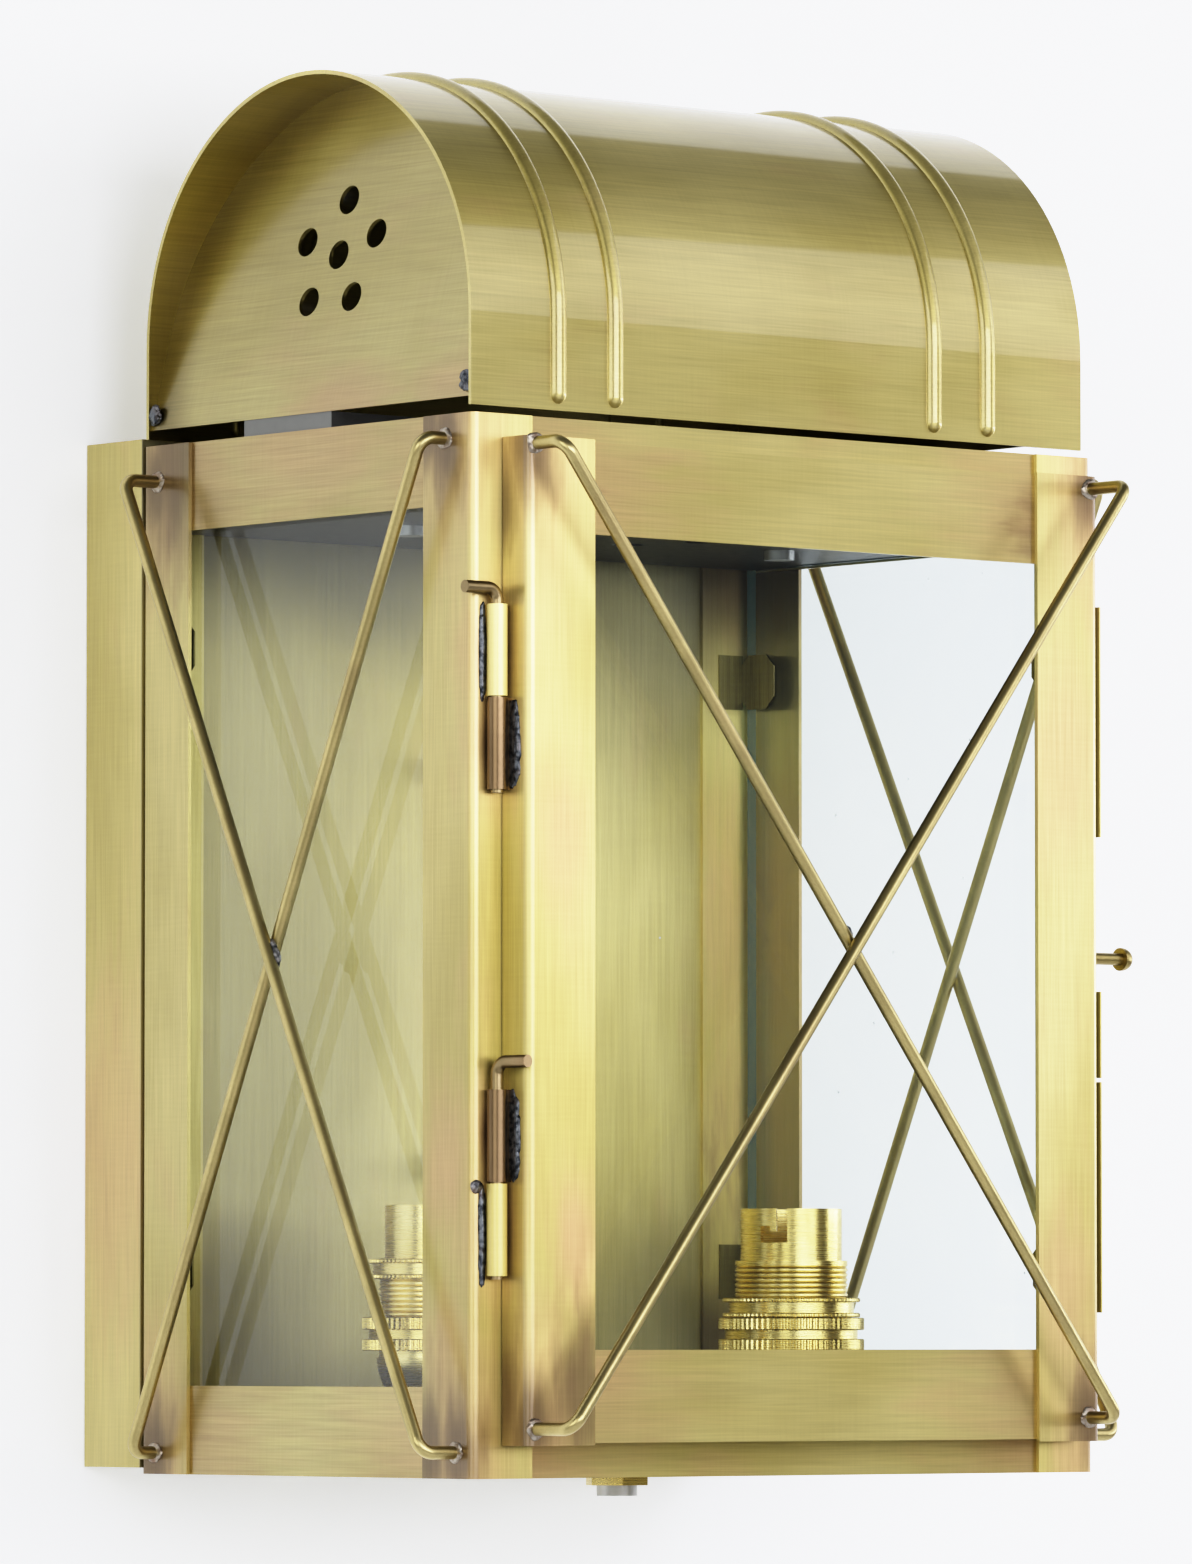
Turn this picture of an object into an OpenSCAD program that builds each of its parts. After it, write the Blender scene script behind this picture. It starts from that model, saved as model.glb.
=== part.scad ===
// Outdoor wall lantern: a glazed brass case with a hinged front door, an arched roof, crossed guard
// wires and two bayonet lampholders, on a shallow wiring box that hangs on a wall strap.
// Origin: centre of the wall screw pattern, on the wall. X to the right, Y into the wall, Z up.

/* [Body] */
// Width of the glazed body
body_w = 200; // [190:1:230]
// Height of the glazed body, without the roof
body_h = 252.5; // [245:0.5:280]
// Depth of the glazed body, from the wiring box to the front posts
body_d = 128; // [124:1:140]
// Thickness of the brass sheet
sheet = 1; // [0.8:0.1:1]
// Width of each flange of the corner posts
post_w = 18.5; // [16:0.5:20]
// Height of the body's top and bottom rails
rail_h = 21.6; // [20:0.2:24]
// Thickness of the glass
glass_t = 3; // [2:0.5:3]

/* [Wiring box] */
// Depth of the box between the glazed body and the wall
box_d = 22.5; // [20:0.5:26]
// How far the box's top edge stands above the body's
box_rise = 2; // [0:0.5:3]
// How far the box's bottom edge stands above the body's
box_lift = 1.5; // [0:0.5:3]
// Distance between the two wall screws
wall_screw_spacing = 150; // [130:5:170]
// Distance between the two studs that carry the lantern
stud_spacing = 100; // [80:5:110]

/* [Roof] */
// Length of the roof from end to end
roof_l = 197; // [190:1:200]
// Sideways place of the roof's middle on the body
roof_x = -1.1; // [-2:0.1:2]
// Width of the arch from front to back
roof_span = 126; // [122:1:128]
// Height of the arch's straight sides
roof_leg = 22.4; // [18:0.2:26]
// Height of the roof's lower edge above the body
roof_gap = 1.8; // [1:0.1:3]
// How far each end plate's foot sits in from the roof's edge
end_inset = 0.8; // [0.5:0.1:3]
// Lean of the end plates, their tops inward
end_tilt = 13.5; // [0:0.5:18]
// Radius of the pressed beads' section
bead_r = 2.5; // [2:0.1:3]
// Distance between the two beads of a pair
bead_pitch = 17.8; // [14:0.2:20]
// Middle of the left and right pairs, from the roof's middle
bead_pairs = [-62.7, 58.1]; // [-75:0.1:75]
// Diameter of the vent holes in the end plates, and of the ring that five of them lie on
vent_d = 7.3; // [5:0.1:8]
vent_ring = 28; // [20:0.5:34]

/* [Door] */
// Gap between the body's left edge and the door
door_inset = 9; // [8:0.5:11]
// Width of the door
door_w = 184.1; // [180:0.1:185]
// Height of the door
door_h = 239; // [232:0.5:240]
// Height of the door's lower edge above the body's
door_lift = 7.8; // [6:0.1:9]
// Depth of the door
door_t = 10; // [9:0.5:12]
// Width of the door's upright stiles
stile_w = 20.6; // [18:0.2:24]
// Height of the door's rails
door_rail_h = 22; // [20:0.2:24]

/* [Hinges] */
// Outside diameter of the hinge knuckles
knuckle_d = 4.9; // [4.5:0.1:5]
// Diameter of the hinge pins
pin_d = 3; // [2.6:0.1:3]
// Length of one knuckle
knuckle_l = 21.8; // [18:0.1:24]
// Distance between the two hinges
hinge_spacing = 115; // [100:1:130]
// Gap between the hinge axis and the door's edge
hinge_gap = 3.4; // [3:0.1:4]

/* [Guard wires] */
// Diameter of the guard wires
guard_d = 3.2; // [3:0.1:4]
// Distance from the left and right face to the plane where the side wires cross
side_reach = [9, 9.6]; // [8:0.1:12]
// Distance from the face to the plane where the door wires cross
door_reach = 12.1; // [10:0.1:15]

/* [Lampholders] */
// Distance between the two lampholders
lamp_spacing = 114.6; // [100:0.2:120]
// Sideways place of the lampholder bar's middle on the body
lamp_x = -1; // [-2:0.5:2]
// Height of the lampholders' rims above the body's lower edge
rim_h = 65.5; // [60:0.5:75]
// Inside radius of the bayonet socket
socket_r = 11.25; // [11.2:0.05:11.4]

/* [Hidden] */
$fn = 64;

// Body planes
half_w = body_w / 2;
back_y = -box_d;
front_y = back_y - body_d;
mid_y = (back_y + front_y) / 2;
top_z = body_h / 2;
low_z = -body_h / 2;
inner_w = body_w - 4 * sheet;
inner_front_y = front_y + 2 * sheet;
rail_back_y = back_y - sheet;
flange = 8;
base_z = low_z + sheet;
ceiling_z = top_z - rail_h + 0.7;

// Wiring box and its fixings
box_z = low_z + box_lift;
box_h = body_h + box_rise - box_lift;
strap_size = [25, 3, 180];
wall_hole_r = 2.75;
stud_r = 2.5;
stud_tip_y = back_y - 7;
nut_af = 8;
nut_h = 5;
grommet_x = 8;
grommet_z = low_z + 12;
grommet_r = 8;
grommet_seat_r = 6.5;
grommet_bore_r = 5;
block_size = [30, 12, 18];
block_top_z = -14;
lead_r = 1.8;
lead_bend_r = 3.9;
lead_gap = 4.6;
lead_y = -strap_size.y - block_size.y / 2;

// Roof
roof_r = roof_span / 2;
roof_z = top_z + roof_gap;
bar_size = [inner_w + 0.8, 34, 4];
bar_z = top_z;
bar_y = mid_y + 8.5;
bead_proud = 1.7;
bead_end = 4;
vent_height = 40.3;
ceiling_holes = 8;
ceiling_hole_r = 4;
ceiling_ring_r = 26;
roof_screw_x = 60;
roof_screw_r = 2;
roof_screw_head = [3.8, 2.4];

// Door
door_x = -half_w + door_inset;
door_right_x = door_x + door_w;
door_z = low_z + door_lift;
door_front_y = front_y - door_t;
door_clear = 0.3;
door_flange_d = door_t - door_clear;
door_mid_z = door_z + door_h / 2;
door_rail_drop = 0.6;

// Catch leaves: middle above the door's middle, and length
leaves = [[58.5, 57.2], [-19.1, 21.4], [-59.3, 57]];
leaf_t = 0.4;
leaf_gap = 0.4;
leaf_reach = 9.8;
leaf_foot = 5;

// Hinges
hinge_x = door_x - hinge_gap;
hinge_y = front_y - knuckle_d / 2;
pin_clearance = 0.05;
knuckle_gap = 0.4;
pin_head_l = 10;
pin_bend_r = 3;

// Upper and lower pin: height of the head above the knuckles, and the way it points
pin_rises = [3.8, 6.6];
pin_angles = [180, -83];

// Glazing
glass_x = half_w - 2 * sheet - 0.1;
glass_low_z = base_z + sheet + 0.3;
glass_high_z = ceiling_z - 0.3;
clip_z = 76;
clip_h = 14;
clip_t = 0.5;
clip_chamfer = 3;

// Guard wires
guard_bend_r = 3.6;
wire_offset = guard_d / 2 + 0.03;

// Feet of the side wires, left side then right: distance in from the front or back edge, and from
// the top or bottom edge
outer_top_feet = [[6, 9], [5.5, 9.8]];
outer_low_feet = [[6.2, 6.2], [4.4, 9.2]];
inner_top_feet = [[10.4, 5.8], [5.4, 5.8]];
inner_low_feet = [[5.9, 5.2], [11.1, 6]];

// Feet of the door wires: distance in from the door's side edge, and from its top or bottom edge
door_outer_feet = [[2.9, 3.2], [2.2, 4]];
door_inner_feet = [[2.2, 1.9], [4, 5.8]];

// Lampholders, measured from the body's lower edge
bar_top = 14.5;
lamp_bar_t = 2;
lamp_bar_w = 20;
tube_r = 5;
tube_bore_r = 3.5;
tube_low = -5.6;
tube_top = 21;
nut_t = 4;
conduit_af = 14;
cap_r = 14.7;
cap_wall = 1.3;
shell_low = 28.5;
spigot_r = 12.5;
spigot_bore_r = 11.3;
neck_r = 7.5;
neck_top = 17.5;
shoulder_h = rim_h - 13;
barrel_r = 12.7;
thread_r = 14.1;
thread_depth = 0.45;
thread_pitch = 1.25;
seat_h = rim_h - 9.5;
upper_ring = [17.25, 4.85];
lower_ring = [18.25, 8.2];
upper_ring_low = [shoulder_h - upper_ring[1] - 0.1, 38.4];
lower_ring_low = 30.1;
slot_w = 2.8;
slot_depth = 8.5;
slot_sweep = 20;
slot_notch = 1.4;
slot_turns = [128, 218];
insulator_r = 12.4;
insulator_low = 31;
insulator_top = rim_h - 13.6;
chamber_low = 34;
chamber_top = insulator_top - 3;
chamber_r = 2.8;
stop_gap = 0.3;
contact_spacing = 11;
plunger_r = 1.8;
plunger_flange = [2.5, 2.4];
plunger_proud = 3.4;
spring_r = 1.95;
spring_wire_r = 0.25;
spring_turns = 6;

// Shapes that repeat

// Folded angle: outer corner at the origin, flanges along X and Y, inside radius one sheet
module angle_bar(a, b, h) {
    fold_r = 2 * sheet;
    linear_extrude(h) {
        translate([fold_r, 0]) square([a - fold_r, sheet]);
        translate([0, fold_r]) square([sheet, b - fold_r]);
        intersection() {
            translate([fold_r, fold_r]) difference() {
                circle(fold_r);
                circle(fold_r - sheet);
            }
            square(fold_r);
        }
    }
}

// Box given by its two opposite corners
module block(low, high) {
    translate(low) cube(high - low);
}

// Arch outline: straight sides under a half circle, middle of the lower edge at the origin
module arch(r, leg) {
    translate([-r, 0]) square([2 * r, leg]);
    intersection() {
        translate([0, leg]) circle(r);
        translate([-r, leg - 0.01]) square([2 * r, r + 0.01]);
    }
}

function unit(v) = v / norm(v);

// Places a shape modelled along local Z so that local X, Y and Z lie along the given vectors
module placed(origin, x, y, z) {
    multmatrix([
        [x.x, y.x, z.x, origin.x],
        [x.y, y.y, z.y, origin.y],
        [x.z, y.z, z.z, origin.z],
        [0, 0, 0, 1]
    ]) children();
}

// Along a route of points: direction after corner i, turn angle there, and side to which it turns
function along(p, i) = unit(p[i + 1] - p[i]);
function turn(p, i) = acos(along(p, i) * along(p, i - 1));
function inward(p, i) = unit(along(p, i) - along(p, i - 1) * (along(p, i) * along(p, i - 1)));

// Length that the bend at corner i takes off each side of it
function setback(p, i, bend_r) = (i == 0 || i == len(p) - 1) ? 0 : bend_r * tan(turn(p, i) / 2);

// Roll about the route between the bend before corner i and the bend at it
function side_after(p, i) = inward(p, i) * cos(turn(p, i)) - along(p, i - 1) * sin(turn(p, i));
function roll(p, i) = i == 1 ? 0 :
    let (a = side_after(p, i - 1), b = inward(p, i)) atan2(cross(a, b) * along(p, i - 1), a * b);

// Round rod bent at each corner of a route of points
module bent_rod(p, r, bend_r) {
    z = along(p, 0);
    x = inward(p, 1);
    placed(p[0], x, cross(z, x), z) rod_from(p, r, bend_r, 1);
}

// Straight stretch up to corner i along local Z, then its bend and the rest of the rod
module rod_from(p, r, bend_r, i) {
    straight = norm(p[i] - p[i - 1]) - setback(p, i - 1, bend_r) - setback(p, i, bend_r);
    cylinder(h = straight, r = r);
    if (i < len(p) - 1)
        translate([0, 0, straight]) rotate([0, 0, roll(p, i)]) translate([bend_r, 0, 0]) {
            rotate([90, 0, 180]) rotate_extrude(angle = turn(p, i)) translate([bend_r, 0]) circle(r);
            rotate([0, turn(p, i), 0]) translate([-bend_r, 0, 0]) rod_from(p, r, bend_r, i + 1);
        }
}

// Tube along Z
module tube(outer_r, inner_r, h) {
    difference() {
        cylinder(h = h, r = outer_r);
        translate([0, 0, -1]) cylinder(h = h + 2, r = inner_r);
    }
}

// Hexagon nut along Z
module hex_nut(af, bore_r, h) {
    difference() {
        cylinder(h = h, d = af / cos(30), $fn = 6);
        translate([0, 0, -1]) cylinder(h = h + 2, r = bore_r);
    }
}

// Plate with its four corners cut off, lying on the local XY plane
module clipped_plate(a, b, t) {
    c = clip_chamfer;
    linear_extrude(t)
        polygon([[0, c], [c, 0], [a - c, 0], [a, c], [a, b - c], [a - c, b], [c, b], [0, b - c]]);
}

// Helix of round wire, swept as one closed surface
function helix_point(r, h, turns, k, n) =
    [r * cos(360 * turns * k / n), r * sin(360 * turns * k / n), h * k / n];
module helix(r, wire_r, h, turns) {
    sides = 6;
    steps = turns * 10;
    rings = [for (k = [0 : steps])
        let (p = helix_point(r, h, turns, k, steps), out = unit([p.x, p.y, 0]))
        for (s = [0 : sides - 1])
            p + wire_r * (cos(360 * s / sides) * out + sin(360 * s / sides) * [0, 0, 1])];
    walls = [for (k = [0 : steps - 1], s = [0 : sides - 1])
        [k * sides + s, (k + 1) * sides + s, (k + 1) * sides + (s + 1) % sides, k * sides + (s + 1) % sides]];
    first = [for (s = [0 : sides - 1]) s];
    last = [for (s = [sides - 1 : -1 : 0]) steps * sides + s];
    polyhedron(points = rings, faces = concat(walls, [first, last]), convexity = 10);
}

// Wall fixing and wiring box

module wall_strap() {
    color("silver") difference() {
        block([-strap_size.x / 2, -strap_size.y, -strap_size.z / 2],
            [strap_size.x / 2, 0, strap_size.z / 2]);
        for (s = [-1, 1]) {
            translate([0, 1, s * wall_screw_spacing / 2]) rotate([90, 0, 0])
                cylinder(h = strap_size.y + 2, r = wall_hole_r);
            translate([0, 1, s * stud_spacing / 2]) rotate([90, 0, 0])
                cylinder(h = strap_size.y + 2, r = stud_r);
        }
    }
}

module wall_studs() {
    color("silver") for (s = [-1, 1])
        translate([0, 0, s * stud_spacing / 2]) rotate([90, 0, 0]) cylinder(h = -stud_tip_y, r = stud_r);
}

module dome_nuts() {
    color("goldenrod") for (s = [-1, 1])
        translate([0, back_y, s * stud_spacing / 2]) rotate([90, 0, 0]) difference() {
            union() {
                cylinder(h = nut_h, d = nut_af / cos(30), $fn = 6);
                translate([0, 0, nut_h]) sphere(nut_af / 2 - 0.2);
            }
            translate([0, 0, -1]) cylinder(h = back_y - stud_tip_y + 1, r = stud_r);
        }
}

module back_box() {
    color("darkkhaki") difference() {
        block([-half_w, back_y, box_z], [half_w, 0, box_z + box_h]);
        block([-half_w + sheet, back_y + sheet, box_z + sheet],
            [half_w - sheet, 1, box_z + box_h - sheet]);
        for (s = [-1, 1])
            translate([0, 1, s * stud_spacing / 2]) rotate([90, 0, 0])
                cylinder(h = box_d + 2, r = stud_r + 0.25);
        translate([grommet_x, 1, grommet_z]) rotate([90, 0, 0])
            cylinder(h = box_d + 2, r = grommet_seat_r);
    }
}

module cable_grommet() {
    lip = 1.6;
    color("dimgray") translate([grommet_x, back_y + sheet + lip, grommet_z]) rotate([90, 0, 0])
        difference() {
            cylinder(h = sheet + 2 * lip, r = grommet_r);
            translate([0, 0, lip]) tube(grommet_r + 1, grommet_seat_r, sheet);
            translate([0, 0, -1]) cylinder(h = sheet + 2 * lip + 2, r = grommet_bore_r);
        }
}

module terminal_block() {
    face_y = -strap_size.y - block_size.y;
    color("ivory") difference() {
        block([-block_size.x / 2, face_y, block_top_z - block_size.z],
            [block_size.x / 2, -strap_size.y, block_top_z]);
        for (i = [-1 : 1])
            translate([i * block_size.x / 3, face_y + 5, block_top_z - block_size.z / 2])
                rotate([90, 0, 0]) cylinder(h = 6, r = 2);
    }
}

module earth_terminal() {
    color("goldenrod") translate([0, -strap_size.y, 20]) rotate([90, 0, 0]) {
        cylinder(h = 1, r = 5);
        translate([0, 0, 1]) cylinder(h = 2.6, r = 3.6);
    }
}

// Sleeved pair of wires from the terminal block to one lampholder; side is -1 left, 1 right
module lead(side) {
    x = grommet_x + side * lead_gap / 2;
    place = [lamp_x + side * lamp_spacing / 2, mid_y];
    floor_z = base_z + sheet + lead_r + 0.3;
    drop_y = back_y - 8;
    bent_rod([
        [x, lead_y, block_top_z - block_size.z],
        [x, lead_y, grommet_z],
        [x, drop_y, grommet_z],
        [x, drop_y, floor_z],
        [place.x, drop_y, floor_z],
        [place.x, place.y, floor_z],
        [place.x, place.y, low_z + insulator_low]
    ], lead_r, lead_bend_r);
}
module lead_left() color("saddlebrown") lead(-1);
module lead_right() color("saddlebrown") lead(1);

// Body frame

// Corner post at the outer corner (x, y), its flanges pointing inwards
module corner_post(side, face_y, inward) {
    translate([side * half_w, face_y, low_z]) mirror([side > 0 ? 1 : 0, 0, 0])
        mirror([0, inward < 0 ? 1 : 0, 0]) angle_bar(post_w, post_w, body_h);
}
module front_left_post() color("darkkhaki") corner_post(-1, front_y, 1);
module front_right_post() color("darkkhaki") corner_post(1, front_y, 1);
module rear_left_post() color("darkkhaki") corner_post(-1, back_y, -1);
module rear_right_post() color("darkkhaki") corner_post(1, back_y, -1);

// Side rail with a flange turned inwards along its outer edge; level is 1 for the top, -1 the bottom
module side_rail(side, level) {
    x = side * (half_w - sheet);
    z = level > 0 ? top_z - rail_h : low_z;
    flange_z = level > 0 ? top_z - sheet : low_z;
    end_y = rail_back_y - sheet;
    color("darkkhaki") {
        block([min(x, x - side * sheet), inner_front_y, z], [max(x, x - side * sheet), end_y, z + rail_h]);
        block([min(x, x - side * (sheet + flange)), inner_front_y, flange_z],
            [max(x, x - side * (sheet + flange)), end_y, flange_z + sheet]);
    }
}
module left_top_rail() side_rail(-1, 1);
module left_bottom_rail() side_rail(-1, -1);
module right_top_rail() side_rail(1, 1);
module right_bottom_rail() side_rail(1, -1);

module front_rail(level) {
    z = level > 0 ? top_z - rail_h : low_z;
    flange_z = level > 0 ? top_z - sheet : low_z;
    span = inner_w / 2 - flange;
    color("darkkhaki") {
        block([-inner_w / 2, front_y + sheet, z], [inner_w / 2, inner_front_y, z + rail_h]);
        block([-span, front_y + sheet, flange_z], [span, inner_front_y + flange, flange_z + sheet]);
    }
}
module front_top_rail() front_rail(1);
module front_bottom_rail() front_rail(-1);

module base_plate() {
    color("darkkhaki") difference() {
        block([-inner_w / 2, inner_front_y, base_z], [inner_w / 2, rail_back_y, base_z + sheet]);
        translate([lamp_x, mid_y, base_z - 1]) cylinder(h = sheet + 2, r = tube_r);
    }
}

module ceiling_plate() {
    color("darkkhaki") difference() {
        block([-inner_w / 2, inner_front_y, ceiling_z], [inner_w / 2, rail_back_y, ceiling_z + sheet]);
        for (i = [1 : ceiling_holes])
            translate([0, mid_y, ceiling_z - 1]) rotate([0, 0, i * 360 / ceiling_holes])
                translate([ceiling_ring_r, 0, 0]) cylinder(h = sheet + 2, r = ceiling_hole_r);
        for (s = [-1, 1])
            translate([s * roof_screw_x, bar_y, ceiling_z - 1]) cylinder(h = sheet + 2, r = roof_screw_r);
    }
}

// Roof

// Extrudes an outline drawn in Y and Z from x0 along X
module along_x(x0, l) {
    translate([x0, 0, 0]) rotate([90, 0, 90]) linear_extrude(l) children();
}

// Round-sectioned band following the arch at place x
module bead(x, r) {
    c = roof_r + bead_proud - bead_r;
    translate([x, mid_y, roof_z + roof_leg]) rotate([90, 0, 90])
        rotate_extrude(angle = 180) translate([c, 0]) circle(r);
    for (s = [-1, 1]) translate([x, mid_y + s * c, roof_z + bead_end]) {
        cylinder(h = roof_leg - bead_end, r = r);
        sphere(r);
    }
}

module roof_skin() {
    x0 = roof_x - roof_l / 2;
    color("darkkhaki") difference() {
        union() {
            along_x(x0, roof_l) translate([mid_y, roof_z]) arch(roof_r, roof_leg);
            for (pair = bead_pairs, s = [-0.5, 0.5]) bead(roof_x + pair + s * bead_pitch, bead_r);
        }
        along_x(x0 - 1, roof_l + 2)
            translate([mid_y, roof_z - 1]) arch(roof_r - sheet, roof_leg + 1);
        for (pair = bead_pairs, s = [-0.5, 0.5])
            bead(roof_x + pair + s * bead_pitch, bead_r - sheet);
    }
}

// Leaning plate inside the arch, its foot on the bar
module roof_end(side) {
    foot_z = bar_z + bar_size.z;
    color("darkkhaki") intersection() {
        along_x(roof_x - roof_l / 2, roof_l) translate([mid_y, roof_z]) difference() {
            arch(roof_r - sheet, roof_leg);
            translate([-roof_r, -1]) square([roof_span, foot_z - roof_z + 1]);
        }
        translate([roof_x + side * (roof_l / 2 - end_inset), mid_y, foot_z])
            rotate([0, -side * end_tilt, 0]) translate([side > 0 ? -sheet : 0, 0, 0]) end_slab();
    }
}

// The end plate before its edge is trimmed
module end_slab() {
    difference() {
        translate([0, -roof_r, -2]) cube([sheet, roof_span, roof_r + roof_leg + 5]);
        translate([-1, 0, vent_height]) rotate([0, 90, 0]) {
            cylinder(h = sheet + 2, d = vent_d);
            for (i = [0:4]) rotate([0, 0, 180 + 72 * i]) translate([vent_ring / 2, 0, 0])
                cylinder(h = sheet + 2, d = vent_d);
        }
    }
}
module roof_left_end() roof_end(-1);
module roof_right_end() roof_end(1);

module roof_bar() {
    color("gray") difference() {
        translate([-bar_size.x / 2, bar_y - bar_size.y / 2, bar_z]) cube(bar_size);
        for (s = [-1, 1])
            translate([s * roof_screw_x, bar_y, bar_z - 1]) cylinder(h = bar_size.z + 2, r = roof_screw_r);
    }
}

module roof_screws() {
    color("silver") for (s = [-1, 1])
        translate([s * roof_screw_x, bar_y, ceiling_z]) {
            translate([0, 0, -roof_screw_head[1]]) cylinder(h = roof_screw_head[1], r = roof_screw_head[0]);
            cylinder(h = bar_z + bar_size.z - ceiling_z, r = roof_screw_r);
        }
}

// Side glazing

module side_pane(side) {
    color("lightcyan", 0.4)
        block([min(side * glass_x, side * (glass_x - glass_t)), inner_front_y + 0.5, glass_low_z],
            [max(side * glass_x, side * (glass_x - glass_t)), rail_back_y - 2, glass_high_z]);
}
module left_glass() side_pane(-1);
module right_glass() side_pane(1);

// One brass clip: a tab on the pane's inner face and a foot on the post's flange
module side_clip(side, front) {
    tab = glass_x - glass_t - 0.1;
    reach = front ? 15 : 13;
    face_y = front ? front_y + sheet : back_y - sheet;
    inward = front ? 1 : -1;
    foot = 8;
    mirror([side > 0 ? 1 : 0, 0, 0]) translate([-tab, face_y, -clip_h / 2])
        mirror([0, front ? 0 : 1, 0]) {
            rotate([90, 0, 90]) clipped_plate(reach, clip_h, clip_t);
            cube([foot, clip_t, clip_h]);
        }
}

module side_glass_clips() {
    color("darkkhaki") for (side = [-1, 1], front = [true, false], level = [-1, 1])
        translate([0, 0, level * clip_z]) side_clip(side, front);
}

// Guard wires

// Wire that rises from one foot, crosses over at the reach and comes down at the other foot.
// Feet are [across, height] on a face; the route's points are [off the face, across, height].
function guard_route(reach, from, to) =
    [[0, from.x, from.y], [reach, from.x, from.y], [reach, to.x, to.y], [0, to.x, to.y]];

// Crossed wires over a side, drawn on the left; i is 0 for the left side's sizes, 1 for the right's
module side_guard(i) {
    outer = guard_route(side_reach[i] + wire_offset,
        [back_y - outer_top_feet[i].x, top_z - outer_top_feet[i].y],
        [front_y + outer_low_feet[i].x, low_z + outer_low_feet[i].y]);
    inner = guard_route(side_reach[i] - wire_offset,
        [front_y + inner_top_feet[i].x, top_z - inner_top_feet[i].y],
        [back_y - inner_low_feet[i].x, low_z + inner_low_feet[i].y]);
    for (route = [outer, inner])
        bent_rod([for (p = route) [-half_w - p.x, p.y, p.z]], guard_d / 2, guard_bend_r);
}
module left_guard_wires() color("darkgoldenrod") side_guard(0);
module right_guard_wires() color("darkgoldenrod") mirror([1, 0, 0]) side_guard(1);

module door_guard_wires() {
    door_top_z = door_z + door_h;
    outer = guard_route(door_reach + wire_offset,
        [door_right_x - door_outer_feet[0].x, door_top_z - door_outer_feet[0].y],
        [door_x + door_outer_feet[1].x, door_z + door_outer_feet[1].y]);
    inner = guard_route(door_reach - wire_offset,
        [door_x + door_inner_feet[0].x, door_top_z - door_inner_feet[0].y],
        [door_right_x - door_inner_feet[1].x, door_z + door_inner_feet[1].y]);
    color("darkgoldenrod") for (route = [outer, inner])
        bent_rod([for (p = route) [p.y, door_front_y - p.x, p.z]], guard_d / 2, guard_bend_r);
}

// Door

module door_hinge_stile() {
    color("darkkhaki") translate([door_x, door_front_y, door_z])
        angle_bar(stile_w, door_flange_d, door_h);
}
module door_latch_stile() {
    color("darkkhaki") translate([door_right_x, door_front_y, door_z]) mirror([1, 0, 0])
        angle_bar(stile_w, door_flange_d, door_h);
}

module door_rail(level) {
    low = level > 0 ? door_z + door_h - door_rail_drop - door_rail_h : door_z + door_rail_drop;
    flange_low = level > 0 ? low + door_rail_h - sheet : low;
    x0 = door_x + 2 * sheet;
    x1 = door_right_x - 2 * sheet;
    face = door_front_y + sheet;
    color("darkkhaki") {
        block([x0, face, low], [x1, face + sheet, low + door_rail_h]);
        block([x0, face, flange_low], [x1, front_y - door_clear, flange_low + sheet]);
    }
}
module door_top_rail() door_rail(1);
module door_bottom_rail() door_rail(-1);

module door_glass() {
    y = door_front_y + 2 * sheet + 0.1;
    edge = door_rail_drop + sheet + 0.4;
    color("lightcyan", 0.4) block([door_x + sheet + 0.2, y, door_z + edge],
        [door_right_x - sheet - 0.2, y + glass_t, door_z + door_h - edge]);
}

module door_glass_clips() {
    y = door_front_y + 2 * sheet + glass_t + 0.2;
    reach = 13;
    color("darkkhaki") for (side = [0, 1], level = [-1, 1])
        translate([side > 0 ? door_right_x - sheet : door_x + sheet, y, door_mid_z + level * clip_z])
            mirror([side, 0, 0]) {
                translate([0, clip_t, -clip_h / 2]) rotate([90, 0, 0]) clipped_plate(reach, clip_h, clip_t);
                translate([0, 0, -clip_h / 2]) cube([clip_t, 3, clip_h]);
            }
}

module door_knob() {
    stem_l = 11.4;
    head_r = 2.85;
    rim_t = 0.6;
    color("goldenrod") translate([door_right_x, front_y - door_t / 2, door_mid_z]) rotate([0, 90, 0]) {
        cylinder(h = stem_l, r = 1.5);
        translate([0, 0, stem_l]) {
            cylinder(h = rim_t, r = head_r);
            translate([0, 0, rim_t]) intersection() {
                sphere(head_r);
                cylinder(h = head_r, r = head_r);
            }
        }
    }
}

// Thin leaves on the right post that grip the closed door's edge
module catch_springs() {
    x = door_right_x + leaf_gap;
    color("darkkhaki") for (leaf = leaves) {
        low = door_mid_z + leaf[0] - leaf[1] / 2;
        high = low + leaf[1];
        block([x, front_y - leaf_reach, low], [x + leaf_t, front_y, high]);
        block([x, front_y - leaf_t, low], [x + leaf_foot, front_y, high]);
    }
}

// Hinges

// Knuckle standing on z, with a web towards the face that carries it
module knuckle(z, on_door) {
    r = knuckle_d / 2;
    web = 2.4;
    translate([hinge_x, hinge_y, z]) difference() {
        union() {
            cylinder(h = knuckle_l, r = r);
            if (on_door) translate([0, -web / 2, 0]) cube([hinge_gap, web, knuckle_l]);
            else translate([-web / 2, 0, 0]) cube([web, r, knuckle_l]);
        }
        translate([0, 0, -1]) cylinder(h = knuckle_l + 2, r = pin_d / 2 + pin_clearance);
    }
}

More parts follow.
